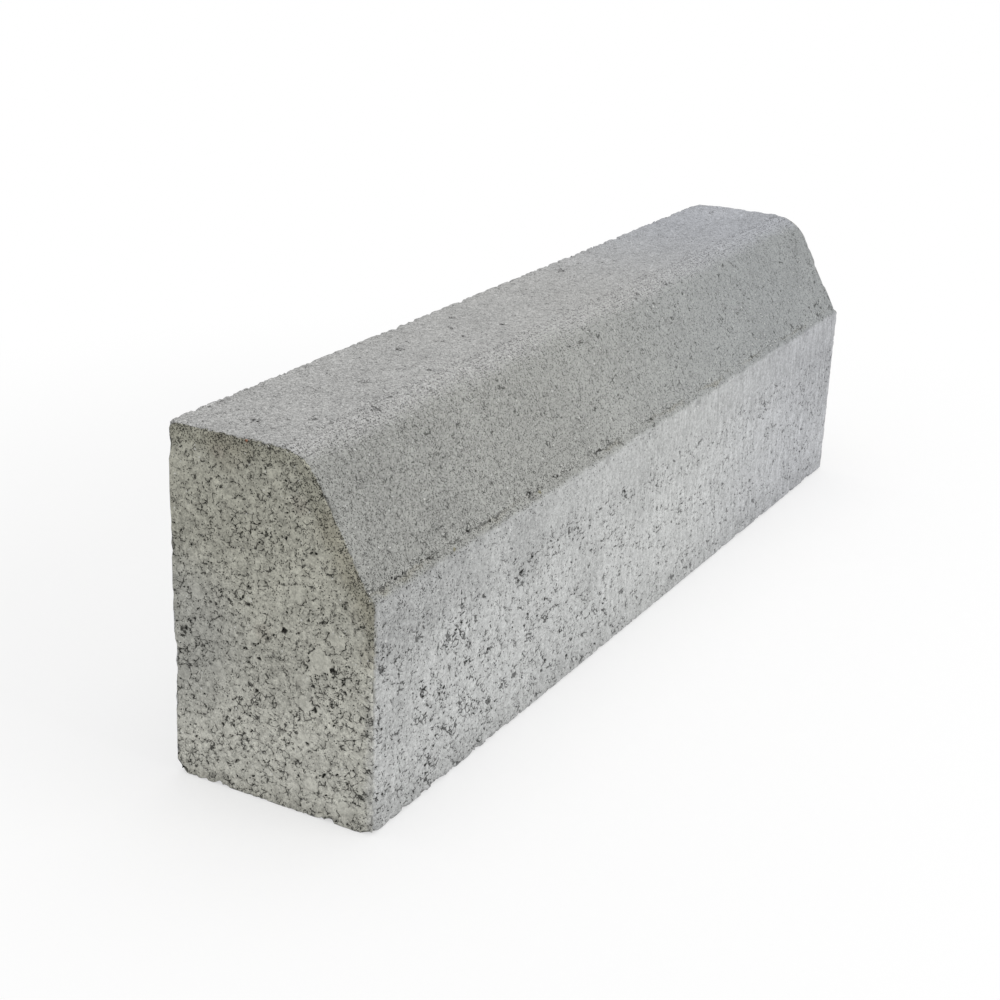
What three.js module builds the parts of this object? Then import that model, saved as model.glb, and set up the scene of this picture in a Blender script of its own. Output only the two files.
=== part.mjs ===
// Splayed concrete kerb stone, pressed in one piece.
//
// Millimetres. X runs along the kerb, -Y faces the road, +Y faces the footway and
// +Z is up. The origin is the middle of the bed face, which lies on the ground.
// The whole block is one section, drawn in Y and Z and run along X: a flat top, a
// rounded crown, a splay down towards the road, a narrow ledge at the splay's foot,
// and an upright road face below it.

import * as THREE from 'three';

// Overall size of the block.
const LENGTH = 800;
const WIDTH = 150;
const HEIGHT = 240;

// Road side of the section.
const TOP_WIDTH = 101; // flat top, from the back to where the splay would meet it
const CROWN_RADIUS = 38; // between the flat top and the splay
const FRONT_HEIGHT = 156; // upright road face, from the bed to the ridge
const LEDGE_WIDTH = 4; // ledge between the splay's foot and the road face
const LEDGE_FALL = 3.5; // how far the ledge drops towards the road
const LEDGE_FILLET = 2.5; // hollow where the splay runs out on the ledge

// Arrises, softened by the mould and by handling.
const RIDGE_ROUND = 5; // ledge to road face
const BACK_ROUND = 1.5; // back face to top
const BED_ROUND = 2; // both long edges of the bed
const END_ROUND = 1; // all round each end face

const ARC_STEPS = 8; // half the flat steps in each rounded corner
const END_STEPS = 2; // flat steps in the rounding of each end

const CONCRETE = new THREE.MeshStandardMaterial({
  name: 'concrete',
  color: new THREE.Color(0.43, 0.43, 0.415),
  roughness: 0.93,
  metalness: 0,
});

const ROAD = -WIDTH / 2;
const BACK = WIDTH / 2;

// Corners of the section, counterclockwise seen from +X, as (y, z) and a radius.
const SECTION = [
  { y: ROAD, z: 0, round: BED_ROUND },
  { y: BACK, z: 0, round: BED_ROUND },
  { y: BACK, z: HEIGHT, round: BACK_ROUND },
  { y: BACK - TOP_WIDTH, z: HEIGHT, round: CROWN_RADIUS },
  { y: ROAD + LEDGE_WIDTH, z: FRONT_HEIGHT + LEDGE_FALL, round: LEDGE_FILLET },
  { y: ROAD, z: FRONT_HEIGHT, round: RIDGE_ROUND },
];

// The arc that rounds one corner: it touches both sides of the corner.
function cornerArc(before, corner, after) {
  const here = new THREE.Vector2(corner.y, corner.z);
  const back = new THREE.Vector2(before.y, before.z).sub(here).normalize();
  const on = new THREE.Vector2(after.y, after.z).sub(here).normalize();
  const halfAngle = Math.acos(back.dot(on)) / 2;
  const toCentre = back.clone().add(on).normalize();
  const centre = here.clone().addScaledVector(toCentre, corner.round / Math.sin(halfAngle));
  const reach = corner.round / Math.tan(halfAngle);
  const first = here.clone().addScaledVector(back, reach).sub(centre);
  const last = here.clone().addScaledVector(on, reach).sub(centre);
  return {
    centre,
    radius: corner.round,
    from: first.angle(),
    to: last.angle(),
    clockwise: back.cross(on) > 0,
  };
}

// The section as a closed shape: arcs at the corners, joined by straight sides.
function roundedSection(corners) {
  const shape = new THREE.Shape();
  corners.forEach((corner, i) => {
    const before = corners.at(i - 1);
    const after = corners[(i + 1) % corners.length];
    const { centre, radius, from, to, clockwise } = cornerArc(before, corner, after);
    shape.absarc(centre.x, centre.y, radius, from, to, clockwise);
  });
  shape.closePath();
  return shape;
}

// The section run along X for the length of the block, its end arrises rounded
// inwards, so that the block keeps its full length and section.
function kerbBody() {
  const depth = LENGTH - 2 * END_ROUND;
  const body = new THREE.ExtrudeGeometry(roundedSection(SECTION), {
    depth,
    curveSegments: ARC_STEPS,
    bevelThickness: END_ROUND,
    bevelSize: END_ROUND,
    bevelOffset: -END_ROUND,
    bevelSegments: END_STEPS,
  });
  return body.translate(0, 0, -depth / 2);
}

const stone = new THREE.Mesh(kerbBody(), CONCRETE);
stone.name = 'kerb_stone';

// The section's own axes (across, up, along) become Y, Z and X.
const across = new THREE.Vector3(0, 1, 0);
const up = new THREE.Vector3(0, 0, 1);
const along = new THREE.Vector3(1, 0, 0);
stone.quaternion.setFromRotationMatrix(new THREE.Matrix4().makeBasis(across, up, along));

const kerb = new THREE.Group();
kerb.name = 'splayed_kerb_stone';
kerb.add(stone);

export default kerb;
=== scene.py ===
"""Dresses the splayed concrete kerb stone: its pressed surface with pits and worn
arrises, the two mixes of its concrete, and a plain studio round it.

Blender's lengths are metres. Sizes in the concrete are given in millimetres, as a
maker gives them, and turned into metres where they meet the mesh."""

import math

import bpy
import numpy as np
from mathutils import Matrix, Vector, geometry


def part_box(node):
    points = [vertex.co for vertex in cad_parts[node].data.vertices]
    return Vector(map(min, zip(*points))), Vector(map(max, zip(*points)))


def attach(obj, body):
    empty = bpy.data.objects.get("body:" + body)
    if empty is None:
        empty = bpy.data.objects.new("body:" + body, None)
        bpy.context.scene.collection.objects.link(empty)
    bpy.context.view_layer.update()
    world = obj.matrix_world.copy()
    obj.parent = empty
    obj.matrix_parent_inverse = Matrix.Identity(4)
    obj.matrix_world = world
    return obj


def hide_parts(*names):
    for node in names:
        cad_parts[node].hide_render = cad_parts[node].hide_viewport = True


MM = 0.001

# The camera, looking along the kerb from its near end and from the road side.
IMAGE_SIZE = 1000
FOCAL_PIXELS = 1805.8
SENSOR_MM = 36.0
CAMERA_PLACE = (-1.2046, -0.5901, 0.5917)
CAMERA_HEADING = math.radians(28.435)  # from +X towards +Y
CAMERA_DOWN = math.radians(21.089)
CAMERA_ROLL = math.radians(2.27)

# How finely the surface is meshed, in millimetres.
STEP_ALONG = 2.35
STEP_ROAD = 2.3
STEP_TOP = 3.4
STEP_BACK = 5.0
STEP_BED = 9.0
STEP_BED_ENDS = 1.9
STEP_ARRIS = 1.3
STEP_END = 1.66
CORNER_REACH = 5.0
LEDGE_MIDDLE = 157.0
LEDGE_REACH = 8.0
TOP_FROM = 160.0
SIDE_SKIN = 1.0
JITTER = 0.22  # share of a step that a point is out of line
BORDER_ROOM = 0.6  # share of a step that is kept free along a border
DENSE_STEP = 0.1  # for measuring along the outline
END_TURN = 0.3  # share of the end's round at which it has one more row

# How near counts as touching, in millimetres.
TOUCHING = 0.01
ON_BED = 0.001
MERGED = 1e-6

INSIDE_ONLY = 1  # a triangulation that keeps only what lies inside its border

# Colours of the concrete, as shares of the light that it gives back, and a few that paint light
# or shade in, as said at each.
TOP_GREY = (0.439, 0.438, 0.43, 1)
FAR_TOP_GREY = (0.412, 0.423, 0.45, 1)
SPLAY_GREY = (0.314, 0.317, 0.3, 1)
FAR_SPLAY_GREY = (0.306, 0.317, 0.317, 1)
ROAD_GREY = (0.468, 0.474, 0.469, 1)
FAR_ROAD_GREY = (0.438, 0.445, 0.46, 1)
END_CORE = (0.474, 0.469, 0.4, 1)
# The end, lighter towards its foot: painted light thrown up from the floor.
END_FOOT_PAINTED_LIGHT = (0.625, 0.621, 0.56, 1)
END_FACE_MIX = (0.392, 0.386, 0.32, 1)
END_BACK = (0.43, 0.43, 0.396, 1)
END_CORNER = (0.56, 0.562, 0.54, 1)
# Near black for pits, crevices and pinholes: painted shade in holes too small for the mesh to
# shadow.
PORE_SHADE = (0.014, 0.014, 0.012, 1)
SOIL = (0.2, 0.185, 0.14, 1)
OCHRE = (0.262, 0.246, 0.16, 1)
RUST = (0.5, 0.16, 0.07, 1)
BROWN = (0.29, 0.262, 0.2, 1)
PINK = (0.36, 0.33, 0.285, 1)
# A few sand grains painted near white: painted glints on quartz grains.
PAINTED_GLINT = (0.8, 0.8, 0.78, 1)

# Grain sizes in the mix, and the lumps of its slower changes, in millimetres.
SAND = 0.95
GRIT = 2.1
GRAVEL = 4.6
STONE = 21.0
RAGGED_LUMP = 1.7
LEAN_LUMP = 2.5
SAND_LUMP = 2.6
SMEAR_LUMP = 3.6
SCATTER_LUMP = 4.5
CRUMB_LUMP = 5.0
WAVER_LUMP = 11.0
WEAR_LUMP = 16.0
LOOSE_LUMP = 26.0
TONE_LUMP = 55.0
FACE_MIX = 13.0  # thickness of the fine mix under the top and the splay

# How deep the relief goes, in millimetres.
PIT_DEPTH = 1.3
CREVICE_DEPTH = 0.7
GRAVEL_DEPTH = 0.5
SAND_DEPTH = 0.3
WAVER_DEPTH = 0.4
WEAR_DEPTH = 0.7  # for each millimetre that the wear is wide

# The splay, as the section gives it: its foot and how steep it is.
SPLAY_FOOT = (4.0, 159.5)  # in from the road face, and up from the bed
SPLAY_LEAN = math.radians(60.8)

# Where the finish changes, in millimetres: the start and the end of each change, or
# the height of a line. Up from the bed:
NEAR_BED = (2.0, 14.0)
OFF_BED = (8.0, 34.0)
PALE_BELOW = (92.0, 128.0)
DULL_ABOVE = (88.0, 128.0)
LOW_END = (20.0, 210.0)
BROW = (139.0, 151.0)
RIDGE = (154.0, 158.5)
SEAM_LINE = 160.6
SLIT_LINE = 161.5
FOOT_LINE = 161.8
DIRTY_EDGE = (3.0, 16.0)
PALE_CORNER = (30.0, 140.0)
NEAR_TOP = (226.0, 238.0)
# Down from the top, and in from an arris:
CROWN_FALL = (0.5, 10.5)
SKIN = (1.0, 6.0)
# Along the block, from its middle:
BY_NEAR_END = (-395.0, -340.0)
DULL_ROAD = (-375.0, -160.0)
ROUGH_BROW = (-370.0, -230.0)
SLIT_CLOSES = (-60.0, 160.0)
CLOSER_CAST = (-320.0, -20.0)
CLOSER_SPLAY = (-250.0, 250.0)
CLEARER_SMEARS = (-200.0, 200.0)
FINER_FACE = (-330.0, -60.0)
PALER_CAST = (-150.0, 300.0)
FAR_SPLAY = (-200.0, 300.0)
FAR_HALF = (0.0, 350.0)

DRAWN_UP = (1.0, 1.0, 0.2)  # smears are five times as high as wide
SPARKLING = (0.997, 0.998)  # shares of the sand: the few grains painted near white as glints

# How strongly each thing shows in the colour. Pits, crevices, pinholes and the halo round the
# pits are painted near black: painted shade.
BRIGHTER = 0.11
DULLER = 0.13
BROWN_SHOWS = 0.3
PINK_SHOWS = 0.4
OCHRE_SHOWS = 0.95
RUST_SHOWS = 0.8
PAINTED_GLINT_SHOWS = 0.7
PIT_SHOWS = 0.97
CREVICE_SHOWS = 0.82
PINHOLE_SHOWS = 0.85
PIT_HALO_SHOWS = 0.12

ROUGHNESS = 0.88
GLOSS = 0.2

# Marks on this block: where each one's middle lies, and how far it reaches.
MARK_CORE = 0.35  # share of its reach over which a mark is full
RUST_SPECK = ((-400.0, 16.0, 238.6), 1.5)
OCHRE_SPECKS = (((-190.0, -71.2, 159.3), 1.9), ((-305.0, -72.8, 158.0), 1.8))
OPEN_PITS = (
    ((-400.0, -10.0, 122.0), 2.6),
    ((-400.0, -20.0, 123.5), 1.4),
    ((-400.0, 2.8, 113.0), 1.9),
    ((-400.0, 17.0, 132.5), 2.1),
    ((-400.0, 58.0, 112.7), 1.9),
    ((-400.0, 65.0, 104.5), 2.2),
    ((-400.0, 9.0, 98.5), 1.9),
    ((-400.0, 11.3, 75.7), 2.2),
    ((-400.0, -45.2, 105.0), 2.4),
    ((-400.0, -31.0, 90.5), 1.9),
    ((-400.0, -54.0, 92.4), 1.9),
    ((-400.0, -32.2, 75.0), 2.1),
    ((-400.0, -26.8, 50.0), 1.9),
    ((-400.0, 50.5, 13.5), 1.9),
    ((-340.6, -75.0, 76.2), 2.2),
    ((-318.0, -75.0, 68.0), 2.1),
    ((-302.5, -75.0, 85.0), 1.9),
    ((-280.0, -75.0, 39.3), 2.2),
    ((-299.0, -75.0, 126.3), 1.8),
    ((-218.0, -75.0, 111.0), 2.4),
    ((-181.3, -75.0, 78.0), 2.1),
    ((-337.4, -75.0, 20.6), 1.9),
    ((-142.3, -75.0, 18.2), 2.2),
)
SCARS = (
    ((-368.0, 33.0, 240.0), 7.0),
    ((-347.0, 5.0, 240.0), 5.0),
    ((-362.0, -2.0, 240.0), 4.0),
    ((-307.0, -13.0, 238.8), 6.0),
    ((-266.0, 20.0, 240.0), 5.0),
    ((-190.0, 41.4, 240.0), 4.5),
    ((-173.0, 47.0, 240.0), 3.5),
    ((-220.0, 0.0, 240.0), 5.0),
    ((-247.0, -20.0, 238.0), 5.0),
    ((-92.0, 15.0, 240.0), 6.0),
    ((80.0, 58.0, 240.0), 7.0),
    ((62.0, -20.0, 238.0), 5.0),
    ((134.0, -26.0, 235.0), 5.0),
)
LOOSE_PATCHES = (
    ((-218.0, -75.0, 110.0), 14.0),
    ((-339.6, -75.0, 7.0), 9.0),
    ((-269.1, -75.0, 4.6), 7.0),
    ((-400.0, -42.0, 90.0), 12.0),
)
KNOCKS = (  # each with its depth
    ((-339.6, -75.0, 5.0), 5.0, 2.5),
    ((-269.1, -75.0, 2.0), 5.0, 2.5),
    ((-241.7, -75.0, 1.0), 4.0, 2.5),
    ((-400.0, 75.0, 0.0), 8.5, 3.0),
    ((-400.0, -75.0, 0.0), 10.0, 2.6),
    ((-400.0, 75.0, 240.0), 5.0, 1.6),
    ((400.0, 75.0, 240.0), 20.0, 1.2),
)
SMOOTH_STONES = (
    ((-400.0, -35.6, 107.8), 11.5),
    ((-400.0, -23.8, 93.8), 8.0),
    ((-400.0, -24.7, 76.0), 7.0),
    ((-400.0, 67.0, 73.0), 7.5),
    ((-400.0, 13.8, 111.5), 7.0),
    ((-400.0, -48.0, 124.6), 7.5),
    ((-400.0, 55.2, 132.5), 7.0),
    ((-400.0, -20.0, 148.7), 8.0),
)
DULL_PATCHES = (
    ((-400.0, -9.0, 91.0), 42.0),
    ((-400.0, 65.0, 166.0), 20.0),
    ((-372.0, -75.0, 78.0), 34.0),
    ((-211.0, -75.0, 128.0), 38.0),
    ((-114.0, -75.0, 77.0), 38.0),
    ((-26.0, -75.0, 105.0), 36.0),
    ((362.0, -75.0, 95.0), 62.0),
)
BRIGHT_PATCHES = (
    ((-400.0, -24.0, 158.0), 24.0),
    ((-400.0, -50.0, 181.0), 22.0),
    ((-301.0, -75.0, 107.0), 26.0),
    ((-291.0, -75.0, 53.0), 24.0),
    ((-49.0, -63.0, 178.0), 36.0),
    ((340.0, -66.0, 172.0), 28.0),
    ((119.0, 59.0, 240.0), 32.0),
    ((374.0, 45.0, 240.0), 44.0),
)
BROWN_STAINS = (
    ((-400.0, -45.5, 196.0), 20.0),
    ((-400.0, -57.0, 174.0), 20.0),
    ((-400.0, -68.0, 150.0), 18.0),
    ((-400.0, -73.0, 122.0), 14.0),
    ((-400.0, 30.0, 232.0), 22.0),
)
PINK_STAINS = (
    ((-400.0, 6.0, 117.0), 9.0),
    ((-400.0, -22.0, 206.0), 9.0),
    ((-400.0, 37.0, 227.0), 7.0),
)
GREY_SIDE = ((-400.0, 75.0, 100.0), 75.0)
PALE_MIDDLE = ((-60.0, -60.0, 170.0), 340.0)

# Where each side lies on the sheet that its finish is kept on, and at what scale.
SHEET_SIZE = 820.0
SHEET_SKIN = 0.6  # what lies this near a side counts as on it
SHEETS = {
    "front": (5.0, 4.0, 1.0),
    "back": (5.0, 364.0, 0.75),
    "near": (614.0, 364.0, 1.1),
    "far": (5.0, 552.0, 1.1),
    "bed": (180.0, 640.0, 0.75),
}

# The studio.
SKY_STRENGTH = 0.65
FLOOR_BOUNCE = (0.8, 0.8, 0.8, 1)
FLOOR_WHITE = (1.0, 1.0, 1.0, 1)
FLOOR_HALF = 8.0
FLOOR_PLAIN = 0.55  # share of the floor's shadow that plain white hides
FLOOR_AWAY = (0.45, 0.9)  # metres from the middle over which it hides the rest
KEY_PLACE = (0.3, -2.8, 1.3)
KEY_SIZE = 2.0
KEY_POWER = 30.0
TOP_PLACE = (0.2, 0.2, 3.0)
TOP_SIZE = 3.0
TOP_POWER = 26.0

SEED = 7

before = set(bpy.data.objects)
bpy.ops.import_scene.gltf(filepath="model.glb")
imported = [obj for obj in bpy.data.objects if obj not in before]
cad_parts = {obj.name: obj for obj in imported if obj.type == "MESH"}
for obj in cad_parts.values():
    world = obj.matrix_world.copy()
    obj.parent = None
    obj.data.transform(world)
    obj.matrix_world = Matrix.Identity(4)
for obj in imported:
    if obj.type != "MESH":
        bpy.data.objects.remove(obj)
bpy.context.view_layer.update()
stone_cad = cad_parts["kerb_stone"]
low, high = (Vector(corner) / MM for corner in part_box("kerb_stone"))
LENGTH = high.x - low.x
HEIGHT = high.z - low.z
ROAD = low.y
BACK = high.y


# ---- the camera ----------------------------------------------------------------------


def place_camera():
    """The camera, rolled a little, with no shift."""
    look = Vector(
        (
            math.cos(CAMERA_HEADING) * math.cos(CAMERA_DOWN),
            math.sin(CAMERA_HEADING) * math.cos(CAMERA_DOWN),
            -math.sin(CAMERA_DOWN),
        )
    )
    data = bpy.data.cameras.new("camera")
    data.sensor_width = SENSOR_MM
    data.lens = FOCAL_PIXELS * SENSOR_MM / IMAGE_SIZE
    camera = bpy.data.objects.new("camera", data)
    turn = look.to_track_quat("-Z", "Y").to_matrix() @ Matrix.Rotation(CAMERA_ROLL, 3, "Z")
    camera.matrix_world = Matrix.Translation(CAMERA_PLACE) @ turn.to_4x4()
    bpy.context.scene.collection.objects.link(camera)
    bpy.context.scene.camera = camera


# ---- the surface as a mesh -----------------------------------------------------------


def section_outline():
    """The CAD section as (y, z) points in millimetres, counterclockwise seen from +X,
    and how far the section is drawn in at the ends."""
    points = np.array([v.co for v in stone_cad.data.vertices]) / MM
    full_at = np.abs(points[:, 0]).min()
    full = np.abs(np.abs(points[:, 0]) - full_at) < TOUCHING
    ring = np.unique(np.round(points[full][:, 1:], 3), axis=0)
    middle = ring.mean(axis=0)
    turn = np.arctan2(ring[:, 1] - middle[1], ring[:, 0] - middle[0])
    return ring[np.argsort(turn)], LENGTH / 2 - full_at


def step_at(y, z):
    """How far apart the mesh's points are on the section, near (y, z)."""
    to_corner = min(
        math.hypot(y - ROAD, z),
        math.hypot(y - BACK, z),
        math.hypot(y - BACK, z - HEIGHT),
    )
    near_ledge = y < ROAD + LEDGE_REACH and abs(z - LEDGE_MIDDLE) < LEDGE_REACH
    if to_corner < CORNER_REACH or near_ledge:
        return STEP_ARRIS
    if z < SIDE_SKIN:
        return STEP_BED_ENDS
    if y > BACK - SIDE_SKIN:
        return STEP_BACK
    if z > TOP_FROM:
        return STEP_TOP
    return STEP_ROAD


def walk_outline(ring):
    """Points along the closed outline, as far apart as step_at says."""
    closed = np.vstack([ring, ring[:1]])
    places = []
    for start, end in zip(closed[:-1], closed[1:]):
        span = np.linalg.norm(end - start)
        pieces = max(1, int(span / DENSE_STEP))
        shares = np.arange(pieces) / pieces
        places.append(start + shares[:, None] * (end - start))
    dense = np.vstack([*places, ring[:1]])
    lengths = np.linalg.norm(np.diff(dense, axis=0), axis=1)
    steps = np.array([step_at(*point) for point in dense[:-1]])
    along = np.concatenate([[0.0], np.cumsum(lengths / steps)])
    count = int(along[-1])
    wanted = np.arange(count) / count * along[-1]
    return np.column_stack([np.interp(wanted, along, dense[:, axis]) for axis in (0, 1)])


def outward(ring):
    """The section's outward direction at each point of a counterclockwise ring."""
    tangent = np.roll(ring, -1, axis=0) - np.roll(ring, 1, axis=0)
    normal = np.column_stack([tangent[:, 1], -tangent[:, 0]])
    return normal / np.linalg.norm(normal, axis=1)[:, None]


def inside_by(points, ring, margin):
    """Which points lie inside the ring, at least margin from it."""
    ends = np.roll(ring, -1, axis=0)
    crossings = np.zeros(len(points), int)
    nearest = np.full(len(points), np.inf)
    for a, b in zip(ring, ends):
        side = b - a
        share = np.clip(((points - a) @ side) / (side @ side), 0, 1)
        gap = np.linalg.norm(points - a - share[:, None] * side, axis=1)
        nearest = np.minimum(nearest, gap)
        spans = (a[1] > points[:, 1]) != (b[1] > points[:, 1])
        if a[1] != b[1]:
            at = a[0] + (points[:, 1] - a[1]) * side[0] / side[1]
            crossings += spans & (points[:, 0] < at)
    return (crossings % 2 == 1) & (nearest > margin)


def points_inside(loop, step, random):
    """Points over a flat face, in staggered rows a little out of line."""
    low_u, low_v = loop.min(axis=0)
    high_u, high_v = loop.max(axis=0)
    points = []
    for i, v in enumerate(np.arange(low_v, high_v, step * math.sqrt(3) / 2)):
        u = np.arange(low_u + (i % 2) * step / 2, high_u, step)
        points.append(np.column_stack([u, np.full(len(u), v)]))
    points = np.vstack(points)
    points += random.uniform(-1, 1, points.shape) * JITTER * step
    return points[inside_by(points, loop, step * BORDER_ROOM)]


def filled(loop, inner):
    """Triangles over a flat face, from the points of its loop and those inside."""
    points = [Vector(p) for p in np.vstack([loop, inner])]
    border = list(range(len(loop)))
    laid = geometry.delaunay_2d_cdt(points, [], [border], INSIDE_ONLY, MERGED)
    _, _, faces, source, _, _ = laid
    first = [origin[0] for origin in source]
    return [[first[i] for i in face] for face in faces]


class Shell:
    """Points and faces of a mesh while it is built."""

    def __init__(self, points):
        self.points = [points]
        self.count = len(points)
        self.faces = []

    def fill(self, border, loop, inner, placed, turned):
        """Closes a flat face inside a border of numbered points. loop gives the border
        in the face, inner the points inside it, and placed those as (x, y, z)."""
        number = list(border) + list(range(self.count, self.count + len(inner)))
        for face in filled(loop, inner):
            corners = [number[i] for i in face]
            self.faces.append(corners[::-1] if turned else corners)
        self.points.append(placed)
        self.count += len(inner)

    def mesh(self, name):
        """The mesh, without the points that no face uses."""
        points = np.vstack(self.points)
        used = np.unique(np.concatenate([np.array(face) for face in self.faces]))
        renumber = np.zeros(len(points), int)
        renumber[used] = np.arange(len(used))
        mesh = bpy.data.meshes.new(name)
        faces = [[int(renumber[i]) for i in face] for face in self.faces]
        mesh.from_pydata((points[used] * MM).tolist(), [], faces)
        mesh.validate()
        mesh.shade_smooth()
        return mesh


def kerb_surface():
    """The whole block as one closed mesh: a grid round its length but for the bed, and
    the bed and both ends filled in."""
    outline, end_round = section_outline()
    ring = walk_outline(outline)
    normal = outward(ring)
    size = len(ring)
    half = LENGTH / 2
    turned = END_TURN * end_round
    rows = [(-half, end_round), (-half + turned, turned)]
    inner_rows = np.linspace(-half + end_round, half - end_round, round(LENGTH / STEP_ALONG))
    rows += [(x, 0.0) for x in inner_rows]
    rows += [(-x, inset) for x, inset in reversed(rows[:2])]
    points = [np.column_stack([np.full(size, x), ring - normal * inset]) for x, inset in rows]
    shell = Shell(np.vstack(points))
    bed = np.flatnonzero(ring[:, 1] < ON_BED)
    bed = bed[np.argsort(ring[bed, 0])]
    first, last = 2, len(rows) - 3
    for row in range(len(rows) - 1):
        for i in range(size):
            j = (i + 1) % size
            if first <= row < last and i in bed and j in bed:
                continue
            here, there = row * size, (row + 1) * size
            shell.faces.append((here + i, here + j, there + j, there + i))

    random = np.random.default_rng(SEED)
    end_loop = ring - normal * end_round
    for row, x in ((0, -half), (len(rows) - 1, half)):
        inner = points_inside(end_loop, STEP_END, random)
        border = [row * size + i for i in range(size)]
        placed = np.column_stack([np.full(len(inner), x), inner])
        shell.fill(border, end_loop, inner, placed, x < 0)

    border = [first * size + i for i in bed]
    border += [row * size + bed[-1] for row in range(first + 1, last)]
    border += [last * size + i for i in bed[::-1]]
    border += [row * size + bed[0] for row in range(last - 1, first, -1)]
    bed_loop = np.vstack(shell.points)[border][:, :2]
    inner = points_inside(bed_loop, STEP_BED, random)
    placed = np.column_stack([inner, np.zeros(len(inner))])
    shell.fill(border, bed_loop, inner, placed, True)
    return shell.mesh("kerb_stone_surface")


# ---- node trees as sums --------------------------------------------------------------


class Wire:
    """A socket that carries a number or a vector. Arithmetic on it adds nodes."""

    def __init__(self, board, socket):
        self.board = board
        self.socket = socket

    def other(self, name):
        """Another output of the node that this one comes from."""
        return Wire(self.board, self.socket.node.outputs[name])

    def maths(self, operation, *values):
        return self.board.node("ShaderNodeMath", {"operation": operation}, [self, *values])

    def __add__(self, other):
        return self.maths("ADD", other)

    __radd__ = __add__

    def __mul__(self, other):
        return self.maths("MULTIPLY", other)

    __rmul__ = __mul__

    def __sub__(self, other):
        return self.maths("SUBTRACT", other)

    def __rsub__(self, other):
        return self.board.node("ShaderNodeMath", {"operation": "SUBTRACT"}, [other, self])

    def __truediv__(self, other):
        return self.maths("DIVIDE", other)

    def __abs__(self):
        return self.maths("ABSOLUTE")

    def least(self, other):
        return self.maths("MINIMUM", other)

    def most(self, other):
        return self.maths("MAXIMUM", other)

    def towards(self, other, share):
        """This where share is 0, and other where it is 1."""
        return self + (other - self) * share

    def rise(self, start, end):
        """0 below start and 1 above end, smoothly."""
        settings = {"interpolation_type": "SMOOTHSTEP"}
        return self.board.node("ShaderNodeMapRange", settings, {0: self, 1: start, 2: end})


class Board:
    """A node tree, with one way to add any node. It serves shaders and mesh nodes."""

    def __init__(self, tree):
        self.tree = tree

    def node(self, kind, settings=None, inputs=None, output=0):
        """Adds a node: its settings first, then its sockets' values or wires."""
        made = self.tree.nodes.new(kind)
        for name, value in (settings or {}).items():
            setattr(made, name, value)
        given = inputs or {}
        pairs = given.items() if isinstance(given, dict) else enumerate(given)
        for name, value in pairs:
            if isinstance(value, Wire):
                self.tree.links.new(value.socket, made.inputs[name])
            else:
                made.inputs[name].default_value = value
        return Wire(self, made.outputs[output]) if made.outputs else None

    def vector(self, operation, *values):
        return self.node("ShaderNodeVectorMath", {"operation": operation}, list(values))

    def scaled(self, vector, factor):
        """A vector or a colour times a number."""
        settings = {"operation": "SCALE"}
        return self.node("ShaderNodeVectorMath", settings, {"Vector": vector, "Scale": factor})

    def parts(self, vector):
        """The x, y and z of a vector."""
        x = self.node("ShaderNodeSeparateXYZ", {}, [vector])
        return [x, x.other("Y"), x.other("Z")]

    def colour(self, share, first, second):
        """A colour between two: share 0 gives the first, and 1 the second."""
        settings = {"data_type": "RGBA", "blend_type": "MIX"}
        return self.node("ShaderNodeMix", settings, {0: share, 6: first, 7: second}, 2)

    def cloud(self, place, size, detail=1.0):
        """Soft noise, mostly 0.3 to 0.7, with lumps of a size."""
        inputs = {"Vector": place, "Scale": 1 / size, "Detail": detail}
        return self.node("ShaderNodeTexNoise", {}, inputs)

    def shaken(self, place, size, reach):
        """A place moved a little, up to about reach, by noise with lumps of a size."""
        inputs = {"Vector": place, "Scale": 1 / size, "Detail": 0.0}
        noise = self.node("ShaderNodeTexNoise", {}, inputs, 1)
        centred = self.vector("SUBTRACT", noise, (0.5, 0.5, 0.5))
        return self.vector("ADD", place, self.scaled(centred, 2 * reach))

    def grains(self, place, size, feature="F1"):
        """Packed grains of a size: how far a place is from the nearest one's middle."""
        inputs = {"Vector": place, "Scale": 1 / size, "Randomness": 1.0}
        return self.node("ShaderNodeTexVoronoi", {"feature": feature}, inputs)

    def near(self, place, mark):
        """1 at the middle of a mark, and 0 from its reach outwards."""
        middle, reach = mark
        gap = self.node("ShaderNodeVectorMath", {"operation": "DISTANCE"}, [place, middle], 1)
        return 1 - gap.rise(reach * MARK_CORE, reach)

    def nearest(self, place, marks):
        """The strongest of several marks."""
        strengths = [self.near(place, mark) for mark in marks]
        most = strengths[0]
        for strength in strengths[1:]:
            most = most.most(strength)
        return most


# ---- the concrete --------------------------------------------------------------------


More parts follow.
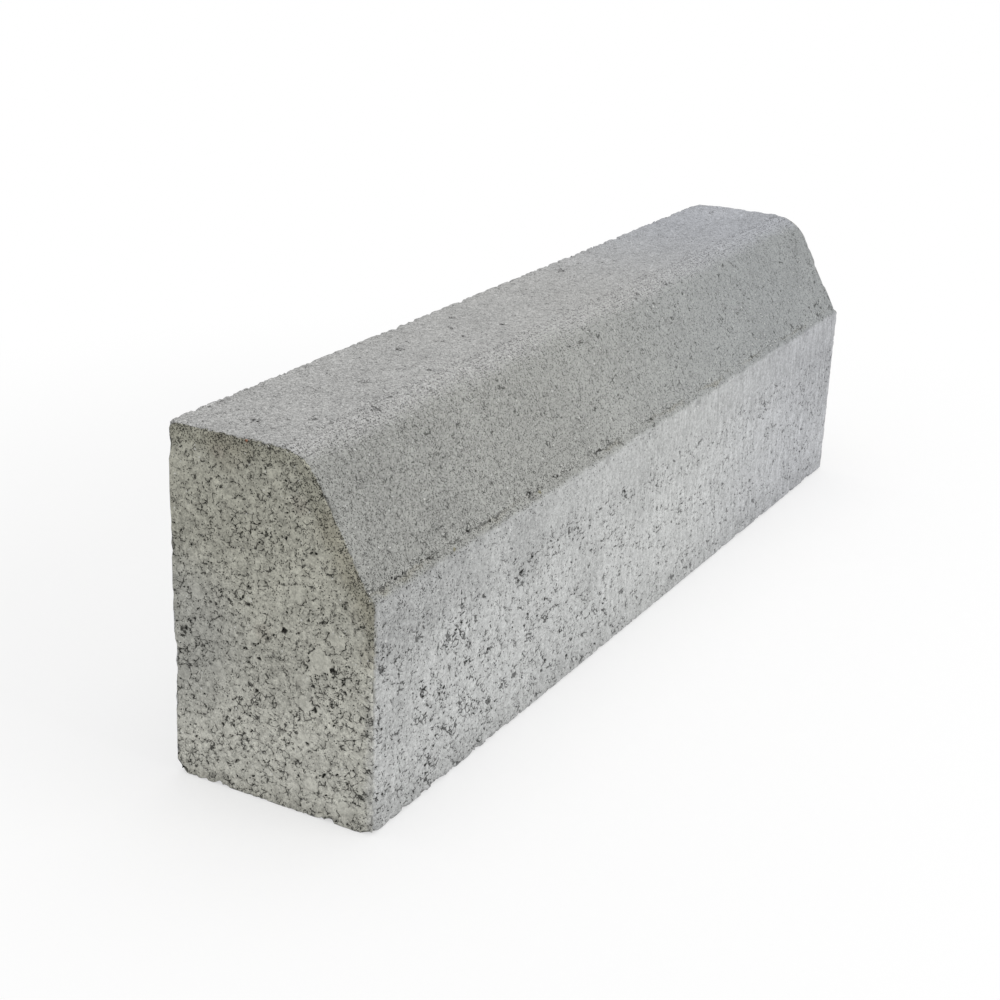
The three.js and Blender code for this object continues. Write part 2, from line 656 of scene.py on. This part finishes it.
class Surface:
    """Where on the block a place lies, and what the mix is like there.

    The place is the one before any wear, arris is how far it is from the nearest
    arris, and drift holds slow changes: how loose the mix is, its tone, and a waver.
    ragged, crumbs, sway, wander and smear swing about 0. Every other name that it
    works out is a share: 0 where a thing isn't, and 1 where it fully is."""

    def __init__(self, board, place, arris, drift):
        self.board = board
        self.place = place
        self.arris = arris
        self.x, self.y, self.z = board.parts(place)
        self.loose, self.tone, self.waver = board.parts(drift)
        self.ragged = board.cloud(place, RAGGED_LUMP) - 0.5
        self.sway = self.waver - 0.5
        self.find_mix()
        self.find_sides()
        self.find_mould_marks()
        self.find_ledge()
        self.find_edges()

    def find_mix(self):
        """How far a place is in the core mix, and how low on the end."""
        run, rise = math.sin(SPLAY_LEAN), math.cos(SPLAY_LEAN)
        foot_y, foot_z = ROAD + SPLAY_FOOT[0], SPLAY_FOOT[1]
        under_splay = self.y * run - self.z * rise - (foot_y * run - foot_z * rise)
        under = under_splay.least(HEIGHT - self.z) + self.sway * 12
        self.core = under.rise(FACE_MIX - 5, FACE_MIX + 4)
        self.low = 1 - self.z.rise(*LOW_END)

    def find_sides(self):
        """Which side a place is on, with ragged borders between them."""
        y, z = self.y, self.z
        past_end = (LENGTH / 2 - abs(self.x)) * 2 - self.arris  # below 0 on the end
        self.crumbs = self.board.cloud(self.place, CRUMB_LUMP, 2.0) - 0.5
        soft = (1 - (y - ROAD).rise(2.0, 9.0)) * (1 - z.rise(152.0, 164.0)) * 2.6
        past_end = past_end + self.ragged * 2.4 + self.crumbs * 6 - soft * 0.5
        self.end = 1 - past_end.rise(-0.9 - soft, 0.9 + soft * 0.6)
        road = 1 - (y - ROAD + self.ragged).rise(0.8, 3.4)
        self.wander = self.sway * 7 + (self.tone - 0.5) * 9
        below_ridge = 1 - (z + self.ragged * 2 + self.wander * 0.6).rise(*RIDGE)
        self.road = road * below_ridge
        back = (y + self.ragged).rise(BACK - 1.1, BACK - 0.4)
        self.cast = self.road.most(back)

    def find_mould_marks(self):
        """What the mould leaves on an upright face: smears drawn up it, and a closed
        brow under the ridge, which is rough near the near end."""
        drawn = self.board.vector("MULTIPLY", self.place, DRAWN_UP)
        self.smear = (self.board.cloud(drawn, SMEAR_LUMP, 2.0) - 0.5) * self.cast
        self.rough_brow = (1 - self.x.rise(*ROUGH_BROW)) * self.road
        self.brow = (self.z + self.wander).rise(*BROW) * self.road * (1 - self.rough_brow * 0.6)

    def find_ledge(self):
        """The splay, its foot, and the dirt and the broken slit along the ledge."""
        z, wander = self.z, self.wander
        fall = HEIGHT - z + self.sway * 6 + (self.tone - 0.5) * 8 + self.ragged * 2
        self.splay = fall.rise(*CROWN_FALL)
        self.foot = 1 - abs(z - FOOT_LINE + wander).rise(0.8, 4.2)
        self.foot = self.foot * (1 - self.cast) * (1 - self.end)
        self.seam = 1 - abs(z - SEAM_LINE + wander + self.ragged * 2).rise(0.4, 1.8)
        self.seam = self.seam * self.tone.rise(0.4, 0.62) * (1 - self.cast) * (1 - self.end)
        line = abs(z + wander * 0.6 + self.ragged * 2 + self.crumbs * 7 - SLIT_LINE)
        self.slit = (1 - line.rise(0.2, 0.8)) * (self.waver + self.ragged * 0.6).rise(0.47, 0.54)
        closing = self.x.rise(*SLIT_CLOSES)
        self.slit = self.slit * (1 - self.cast) * (1 - self.end) * (1 - closing * 0.75)

    def find_edges(self):
        """The closed skin along an arris, and the borders of the end."""
        z, sway = self.z, self.sway
        self.skin = 1 - self.arris.rise(*SKIN)
        self.dirty_edge = self.end * (1 - (z + sway * 20).rise(*DIRTY_EDGE))
        upper = 1 - (self.arris + sway * 6).rise(0.5, 5.0)
        self.upper_edge = self.end * (1 - self.core) * upper
        corner = 1 - (self.y - ROAD + self.ragged * 3 + sway * 8).rise(0.5, 8.0)
        self.pale_corner = corner * (1 - z.rise(*PALE_CORNER)) * self.end
        self.upright = self.end.most(self.cast)


class Grains:
    """The grains of the mix at a place, the gaps between them and the open pits."""

    def __init__(self, surface):
        board, place = surface.board, surface.place
        self.surface = surface
        self.bent = board.shaken(board.shaken(place, 4.0, 1.0), 1.5, 0.3)
        self.sand = board.grains(place, SAND)
        self.grit = board.grains(self.bent, GRIT)
        self.gravel = board.grains(self.bent, GRAVEL)
        beyond = board.grains(self.bent, GRAVEL, "F2")
        self.joint = (beyond - self.gravel) * (GRAVEL / 2)  # from the joint of two grains
        pair = [board.parts(grain.other("Color"))[0] for grain in (self.gravel, beyond)]
        self.bond = pair[0] + pair[1] - 1  # the same all along the joint of two grains
        stone = board.grains(self.bent, STONE)
        self.scatter = board.cloud(place, SCATTER_LUMP) - 0.5
        self.find_openness()
        self.find_smooth_stones(stone)
        self.find_pits()
        self.find_crevices()
        self.find_pinholes()

    def find_openness(self):
        """How open the mix is: closed where it was pressed, and open on the end."""
        surface, board, place = self.surface, self.surface.board, self.surface.place
        core, end = surface.core, surface.end
        of_press = 0.37 + surface.splay * 0.2 + surface.foot * 0.12 + surface.seam * 0.12
        of_cast = 0.2 + core * (0.57 - surface.skin * 0.37) - surface.x.rise(*CLOSER_CAST) * 0.13
        of_end = 0.6 + core * 0.2 + surface.dirty_edge * 0.1 + surface.upper_edge * 0.2
        of_cast = of_cast - surface.brow * 0.08 - surface.smear * 0.7
        of_cast = of_cast + surface.rough_brow * (1 - core) * 0.3
        of_end = of_end - surface.pale_corner * 0.2
        open_mix = of_press.towards(of_cast, surface.cast).towards(of_end, end)
        open_mix = open_mix + (surface.loose - 0.5) * 0.9
        open_mix = open_mix + board.nearest(place, LOOSE_PATCHES) * 0.25
        self.scarred = board.nearest(board.shaken(place, 5.0, 3.0), SCARS)
        self.open_mix = open_mix + self.scarred * 0.55

    def find_smooth_stones(self, stone):
        """The bare faces of larger stones on the end, and the rim round each."""
        surface, board = self.surface, self.surface.board
        size = (board.parts(stone.other("Color"))[0] - 0.66) * 0.9
        own = board.nearest(board.shaken(surface.place, 9.0, 3.5), SMOOTH_STONES)
        inside = (size - stone).rise(0.0, 0.04)
        self.smooth = (inside * surface.core).most(own.rise(0.3, 0.42)) * surface.end
        self.rim = (1 - abs(own - 0.22).rise(0.03, 0.16)) * surface.end

    def find_pits(self):
        """Pits: grit grains that are missing, mostly beside the gravel and, as painted shade,
        more under it, the scars, the larger open pits and the slit."""
        surface, board, end = self.surface, self.surface.board, self.surface.end
        self.rough = 1 - self.smooth
        luck, self.tint, _ = board.parts(self.grit.other("Color"))
        # The lower side of each gravel lump, where pits and crevices are widened: painted shade
        # below the lumps, which also deepens the relief there.
        middle = board.parts(self.gravel.other("Position"))[2]
        sunk = (middle - board.parts(self.bent)[2]) * (1 / GRAVEL)
        self.under = sunk.rise(-0.3, 0.6) * surface.upright
        beside = 1 - self.joint.rise(0.1, 1.2)
        beside = beside * (0.5 + self.under)
        reach = self.open_mix * 0.4 + beside * 0.16 + self.scatter * 0.7
        reach = reach + self.rim * 0.3 - luck * 0.4 - 0.05
        reach = reach + surface.ragged * 0.5 + (0.5 - self.sand) * 0.2
        reach = reach.least(0.52 - end * 0.1 - surface.foot * 0.14) + end * 0.018
        self.pit = (reach - self.grit).rise(0.0, 0.11) * self.rough
        # A soft halo that deepens the grey round each pit: painted shade.
        self.pit_halo_shade = (reach - self.grit).rise(-0.25, 0.3)
        wisps = self.scarred * 0.75 + surface.ragged * 1.3 + self.scatter * 1.4 - 0.62
        self.pit = self.pit.most(wisps.rise(0.0, 0.2) * self.scarred.rise(0.0, 0.3) * 0.4)
        voids = board.nearest(board.shaken(surface.place, 2.2, 1.3), OPEN_PITS)
        self.pit = self.pit.most(voids).most(surface.slit * 0.62)

    def find_crevices(self):
        """Crevices along the joints of the gravel, some joints open and some closed, and wider
        under each lump as painted shade.
        """
        surface, end = self.surface, self.surface.end
        width = self.scatter * 1.1 + self.bond * 0.5 + (self.open_mix - 0.9) * 0.6
        width = width + self.rim * 0.25 + surface.ragged * 1.0 + self.under * 0.2
        width = width + end * (surface.low * 0.07 - 0.06)
        width = width.least(0.7 - end * 0.4)
        self.crevice = (width - self.joint).rise(0.0, 0.16) * self.rough

    def find_pinholes(self):
        """Pinholes: sand grains that are missing."""
        surface, core, end = self.surface, self.surface.core, self.surface.end
        speck = surface.board.parts(self.sand.other("Color"))[2]
        share = 0.46 - surface.splay * 0.11 + surface.foot * 0.3 + surface.brow * 0.08
        share = share - surface.cast * 0.24 + (1 - core) * end * 0.06 - core * end * 0.24
        share = share - surface.splay * surface.x.rise(*CLOSER_SPLAY) * 0.15
        share = share + surface.rough_brow * (1 - core) * 0.1
        share = share + surface.upper_edge * 0.3 + (1 - surface.low) * end * 0.08
        missing = (share + self.scatter * 0.5 - speck).rise(0.0, 0.1)
        self.pinhole = missing * (0.6 - self.sand).rise(0.0, 0.2)
        self.pinhole = self.pinhole * self.rough


def worn(surface):
    """How much of an arris is gone at a place, in millimetres."""
    board, place = surface.board, surface.place
    crumb = board.cloud(place, WEAR_LUMP, 4.0)
    near_bed = 1 - surface.z.rise(*NEAR_BED)
    far_from_top = 1 - surface.z.rise(*NEAR_TOP)
    chips = board.cloud(place, CRUMB_LUMP, 2.0) - 0.5
    crest = (1 - far_from_top) * (1 - (BACK - surface.y).rise(3.0, 8.0))
    width = (crumb - 0.5) * (28.0 + near_bed * 4.0 - far_from_top * 8.0 - crest * 12.0)
    width = width + chips * (12.0 + crest * 14.0) + 0.4 + crest * 0.9
    corner = (1 - (surface.y - ROAD).rise(2.0, 6.0)) * (1 - surface.z.rise(145.0, 160.0))
    width = width + near_bed * 0.6 + surface.ragged * 2.0
    width = width.most(corner * (1.6 + chips * 3.0))
    gone = (width - surface.arris).most(0.0) * WEAR_DEPTH
    uneven = board.shaken(place, 3.0, 1.5)
    for middle, reach, depth in KNOCKS:
        gone = gone.most(board.near(uneven, (middle, reach)) * depth)
    return gone


def pressed_relief():
    """Mesh nodes that store the slow changes and press pores and wear into the mesh."""
    tree = bpy.data.node_groups.new("pressed_relief", "GeometryNodeTree")
    for side in ("INPUT", "OUTPUT"):
        tree.interface.new_socket("Geometry", in_out=side, socket_type="NodeSocketGeometry")
    board = Board(tree)
    source = board.node("NodeGroupInput")
    vector, number = {"data_type": "FLOAT_VECTOR"}, {"data_type": "FLOAT"}
    place = board.node("GeometryNodeInputNamedAttribute", vector, {"Name": "place"})
    arris = board.node("GeometryNodeInputNamedAttribute", number, {"Name": "arris"})
    loose = board.cloud(place, LOOSE_LUMP)
    tone = board.cloud(place, TONE_LUMP, 3.0)
    waver = board.cloud(place, WAVER_LUMP)
    drift = board.node("ShaderNodeCombineXYZ", {}, [loose, tone, waver])
    inputs = {"Geometry": source, "Name": "drift", "Value": drift}
    stored = board.node("GeometryNodeStoreNamedAttribute", vector, inputs)
    surface = Surface(board, place, arris, drift)
    grains = Grains(surface)
    depth = grains.pit * PIT_DEPTH + grains.crevice * CREVICE_DEPTH
    depth = depth + grains.gravel * surface.end * surface.core * GRAVEL_DEPTH
    depth = depth + (board.cloud(place, SAND_LUMP) - 0.2).most(0.0) * SAND_DEPTH
    depth = depth + (surface.waver - 0.25).most(0.0) * WAVER_DEPTH + worn(surface)
    inward = board.scaled(board.node("GeometryNodeInputNormal"), depth * -MM)
    moved = board.node("GeometryNodeSetPosition", {}, {"Geometry": stored, "Offset": inward})
    board.node("NodeGroupOutput", {}, [moved])
    return tree


def plain_colour(surface):
    """The concrete's colour at a place, before its grains, stains and pores, with the end
    painted lighter towards its foot: painted light thrown up from the floor.
    """
    board, place = surface.board, surface.place
    far = surface.x.rise(*FAR_HALF)
    top = board.colour(far, TOP_GREY, FAR_TOP_GREY)
    splay = board.colour(surface.x.rise(*FAR_SPLAY), SPLAY_GREY, FAR_SPLAY_GREY)
    face = board.colour(surface.splay, top, splay)
    # The end painted lighter towards its foot: painted light thrown up from the floor.
    end = board.colour(surface.low, END_CORE, END_FOOT_PAINTED_LIGHT)
    end = board.colour(surface.core, END_FACE_MIX, end)
    end = board.colour(board.near(place, GREY_SIDE) * 0.85, end, END_BACK)
    end = board.colour(surface.pale_corner * 0.8, end, END_CORNER)
    base = board.colour(surface.cast, face, board.colour(far, ROAD_GREY, FAR_ROAD_GREY))
    return board.colour(surface.end, base, end)


def brightness(surface, grains, sand_tint, finer):
    """How light a place is: from grain to grain, and over broad bands and patches, with the foot
    of the splay painted lighter against the shade in the ledge.
    """
    board, place = surface.board, surface.place
    cast, end = surface.cast, surface.end
    coarse = 0.10 + cast * 0.12 + end * 0.14
    fine = 0.64 - surface.splay * 0.14 - cast * 0.12 - surface.brow * 0.12
    fine = fine - end * surface.core * 0.1 - grains.smooth * 0.2 - finer * 0.14
    shade = 1.05 + (sand_tint - 0.5) * fine + (grains.tint - 0.5) * coarse
    shade = shade + (surface.tone - 0.5) * 0.3 + grains.smooth * 0.08
    shade = shade + ((surface.waver - 0.5) * 0.35 - grains.scatter * 0.3) * (0.4 + end * 0.6)
    lower = (1 - surface.z.rise(*PALE_BELOW)) * surface.z.rise(*OFF_BED)
    dull = (1 - surface.x.rise(*DULL_ROAD)) * surface.z.rise(*DULL_ABOVE)
    near_end = 1 - surface.x.rise(*BY_NEAR_END)
    shade = shade + cast * (lower * 0.12 - dull * 0.15 - near_end * 0.02)
    along = board.near(place, PALE_MIDDLE) * (surface.splay * 0.1 - cast * 0.05)
    shade = shade + surface.smear * (0.4 + surface.x.rise(*CLEARER_SMEARS) * 0.4)
    # The foot of the splay painted lighter: painted light against the shade that falls in the
    # ledge.
    shade = shade + along + surface.foot * 0.18
    shade = shade + board.nearest(place, BRIGHT_PATCHES) * BRIGHTER
    return shade - board.nearest(place, DULL_PATCHES) * DULLER


def leaning(surface, grains, finer):
    """The surface's direction, leaned by sand, grit, gravel and soft lumps."""
    board, place = surface.board, surface.place
    ring = grains.pit * (1 - grains.pit)
    sand_lean = board.vector("SUBTRACT", place, grains.sand.other("Position"))
    grit_lean = board.vector("SUBTRACT", place, grains.grit.other("Position"))
    soft = {"Vector": place, "Scale": 1 / LEAN_LUMP, "Detail": 1.0}
    lump = board.node("ShaderNodeTexNoise", {}, soft, 1)
    lump = board.vector("SUBTRACT", lump, (0.5, 0.5, 0.5))
    crisp = (0.35 + surface.end * 0.25 - finer * 0.12) * (1 / SAND)
    lean = board.vector("ADD", board.scaled(sand_lean, crisp), board.scaled(lump, 1.6))
    lean = board.vector("ADD", lean, board.scaled(grit_lean, (0.2 - ring * 10.0) / GRIT))
    gravel_lean = board.vector("SUBTRACT", place, grains.gravel.other("Position"))
    rounding = grains.open_mix * 0.35 + surface.end * surface.core * 0.45
    lean = board.vector("ADD", lean, board.scaled(gravel_lean, rounding / GRAVEL))
    normal = board.vector("ADD", board.node("ShaderNodeNewGeometry", {}, None, 1), lean)
    return board.vector("NORMALIZE", normal)


def concrete():
    """The finish of the whole block: fine grey face mix over a paler, open core mix."""
    material = bpy.data.materials.new("pressed_concrete")
    material.use_nodes = True
    tree = material.node_tree
    tree.nodes.clear()
    board = Board(tree)
    place = board.node("ShaderNodeAttribute", {"attribute_name": "place"}, None, 1)
    arris = board.node("ShaderNodeAttribute", {"attribute_name": "arris"}, None, 2)
    drift = board.node("ShaderNodeAttribute", {"attribute_name": "drift"}, None, 1)
    surface = Surface(board, place, arris, drift)
    grains = Grains(surface)
    sand_tint, sparkle, _ = board.parts(grains.sand.other("Color"))
    finer = surface.x.rise(*FINER_FACE) * (1 - surface.upright)

    base = plain_colour(surface)
    shade = brightness(surface, grains, sand_tint, finer)
    brown = board.nearest(place, BROWN_STAINS) * surface.end
    base = board.colour(brown * BROWN_SHOWS, base, BROWN)
    base = board.colour(board.nearest(place, PINK_STAINS) * PINK_SHOWS, base, PINK)
    soiled = (surface.seam * 0.6).most(surface.dirty_edge * 0.3) * surface.tone
    base = board.colour(soiled, base, SOIL)
    base = board.scaled(base, shade)
    # A few sand grains painted near white: painted glints on quartz grains.
    base = board.colour(sparkle.rise(*SPARKLING) * PAINTED_GLINT_SHOWS, base, PAINTED_GLINT)
    base = board.colour(board.nearest(place, OCHRE_SPECKS) * OCHRE_SHOWS, base, OCHRE)
    base = board.colour(board.near(place, RUST_SPECK) * RUST_SHOWS, base, RUST)
    # Pits, crevices, pinholes and a halo round the pits are painted near black, more so on the
    # upright faces: painted shade in the holes, which the mesh is too coarse to shadow.
    crevice = grains.crevice * (CREVICE_SHOWS - surface.cast * 0.1)
    pore_shade = (grains.pit * PIT_SHOWS).most(crevice)
    pore_shade = pore_shade.most(grains.pinhole * PINHOLE_SHOWS).most(grains.pit_halo_shade * PIT_HALO_SHOWS)
    pore_shade = pore_shade * (1 - surface.cast * surface.x.rise(*PALER_CAST) * 0.2)
    base = board.colour(pore_shade * (0.85 + surface.upright * 0.15), base, PORE_SHADE)

    inputs = {
        "Base Color": base,
        "Roughness": ROUGHNESS + pore_shade * (1 - ROUGHNESS),
        "Normal": leaning(surface, grains, finer),
        "Specular IOR Level": GLOSS,
    }
    shader = board.node("ShaderNodeBsdfPrincipled", {}, inputs)
    board.node("ShaderNodeOutputMaterial", {}, {"Surface": shader})
    return material


def dress(mesh):
    """Stores where each point of the mesh lies before wear, and how near an arris."""
    points = np.array([v.co for v in mesh.vertices]) / MM
    x, y, z = points.T
    run, rise = math.sin(SPLAY_LEAN), math.cos(SPLAY_LEAN)
    under_splay = (y - ROAD - SPLAY_FOOT[0]) * run - (z - SPLAY_FOOT[1]) * rise
    gaps = [LENGTH / 2 - np.abs(x), z, BACK - y, y - ROAD, np.minimum(HEIGHT - z, under_splay)]
    arris = np.sort(np.column_stack(gaps), axis=1)[:, 1]
    place = mesh.attributes.new("place", "FLOAT_VECTOR", "POINT")
    place.data.foreach_set("vector", points.ravel())
    mesh.attributes.new("arris", "FLOAT", "POINT").data.foreach_set("value", arris)


def up_the_section(outline, points):
    """How far up the section, from the foot of the road face over the splay and the top
    to the back, each (y, z) point lies, in millimetres."""
    clockwise = outline[::-1]
    foot = np.argmin(np.where(clockwise[:, 1] < TOUCHING, clockwise[:, 0], np.inf))
    clockwise = np.roll(clockwise, -foot, axis=0)
    front = clockwise[: np.argmax(clockwise[:, 0] > BACK - TOUCHING) + 1]
    gone, best, reached = 0.0, np.full(len(points), np.inf), np.zeros(len(points))
    for a, b in zip(front[:-1], front[1:]):
        side = b - a
        share = np.clip(((points - a) @ side) / (side @ side), 0, 1)
        gap = np.linalg.norm(points - a - share[:, None] * side, axis=1)
        nearer = gap < best
        span = np.linalg.norm(side)
        reached[nearer] = gone + share[nearer] * span
        best[nearer] = gap[nearer]
        gone += span
    return reached


def lay_flat(mesh):
    """Lays the surface out flat, side by side, for the finish to be kept as a picture."""
    places = np.empty(len(mesh.vertices) * 3, np.float32)
    mesh.attributes["place"].data.foreach_get("vector", places)
    places = places.reshape(-1, 3).astype(float)
    corners = np.empty(len(mesh.loops), int)
    mesh.loops.foreach_get("vertex_index", corners)
    sizes = np.empty(len(mesh.polygons), int)
    mesh.polygons.foreach_get("loop_total", sizes)
    starts = np.concatenate([[0], np.cumsum(sizes)[:-1]])
    middle = np.add.reduceat(places[corners], starts, axis=0) / sizes[:, None]
    side = np.full(len(sizes), "front")
    side[middle[:, 1] > BACK - SHEET_SKIN] = "back"
    side[middle[:, 2] < SHEET_SKIN] = "bed"
    side[middle[:, 0] < SHEET_SKIN - LENGTH / 2] = "near"
    side[middle[:, 0] > LENGTH / 2 - SHEET_SKIN] = "far"
    side = np.repeat(side, sizes)
    x, y, z = places[corners].T
    up = up_the_section(section_outline()[0], places[:, 1:])[corners]
    flat = {"front": (x, up), "back": (-x, z), "bed": (x, -y), "near": (-y, z), "far": (y, z)}
    layout = np.zeros((len(corners), 2))
    for name, (across, along) in flat.items():
        left, bottom, scale = SHEETS[name]
        here = side == name
        layout[here, 0] = left + (across[here] - across[here].min()) * scale
        layout[here, 1] = bottom + (along[here] - along[here].min()) * scale
    sheet = mesh.uv_layers.new(name="OFBake")
    sheet.data.foreach_set("uv", (layout / SHEET_SIZE).ravel())


def press(stone):
    """Runs the relief on the stone and keeps the result as its mesh."""
    relief = stone.modifiers.new("relief", "NODES")
    relief.node_group = pressed_relief()
    depsgraph = bpy.context.evaluated_depsgraph_get()
    mesh = bpy.data.meshes.new_from_object(stone.evaluated_get(depsgraph), depsgraph=depsgraph)
    stone.modifiers.clear()
    stone.data = mesh


# ---- the studio ----------------------------------------------------------------------


def white_floor():
    """A white floor that shows the block's shadow and runs out into the backdrop."""
    far = FLOOR_HALF
    corners = [(-far, -far, 0), (far, -far, 0), (far, far, 0), (-far, far, 0)]
    sheet = bpy.data.meshes.new("floor")
    sheet.from_pydata(corners, [], [(0, 1, 2, 3)])
    material = bpy.data.materials.new("white_floor")
    material.use_nodes = True
    material.node_tree.nodes.clear()
    board = Board(material.node_tree)
    seen = board.node("ShaderNodeLightPath")
    place = board.node("ShaderNodeNewGeometry")
    away = board.node("ShaderNodeVectorMath", {"operation": "LENGTH"}, [place], 1)
    tone = board.colour(seen, FLOOR_BOUNCE, FLOOR_WHITE)
    matt = board.node("ShaderNodeBsdfDiffuse", {}, {"Color": tone})
    plain = board.node("ShaderNodeEmission", {}, {"Color": FLOOR_WHITE, "Strength": 1.0})
    share = seen * (FLOOR_PLAIN + away.rise(*FLOOR_AWAY) * (1 - FLOOR_PLAIN))
    blend = board.node("ShaderNodeMixShader", {}, [share, matt, plain])
    board.node("ShaderNodeOutputMaterial", {}, {"Surface": blend})
    floor = bpy.data.objects.new("floor", sheet)
    floor.data.materials.append(material)
    bpy.context.scene.collection.objects.link(floor)


def white_world():
    """Soft light from all round, and a white backdrop."""
    world = bpy.data.worlds.new("studio")
    world.use_nodes = True
    world.node_tree.nodes.clear()
    board = Board(world.node_tree)
    seen = board.node("ShaderNodeLightPath")
    strength = SKY_STRENGTH + seen * (1 - SKY_STRENGTH)
    sky = board.node("ShaderNodeBackground", {}, {"Color": FLOOR_WHITE, "Strength": strength})
    board.node("ShaderNodeOutputWorld", {}, {"Surface": sky})
    bpy.context.scene.world = world


def soft_lamp(name, place, size, power):
    """A square lamp that faces the block."""
    data = bpy.data.lights.new(name, "AREA")
    data.size = size
    data.energy = power
    lamp = bpy.data.objects.new(name, data)
    aim = Vector((0, 0, HEIGHT * MM / 2)) - Vector(place)
    turn = aim.to_track_quat("-Z", "Y").to_matrix().to_4x4()
    lamp.matrix_world = Matrix.Translation(place) @ turn
    bpy.context.scene.collection.objects.link(lamp)


place_camera()
stone = bpy.data.objects.new("pressed_kerb_stone", kerb_surface())
bpy.context.scene.collection.objects.link(stone)
dress(stone.data)
stone.data.materials.append(concrete())
press(stone)
lay_flat(stone.data)
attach(stone, "root")
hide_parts("kerb_stone")
white_floor()
white_world()
soft_lamp("key", KEY_PLACE, KEY_SIZE, KEY_POWER)
soft_lamp("top", TOP_PLACE, TOP_SIZE, TOP_POWER)

bpy.context.scene.view_settings.view_transform = "Standard"
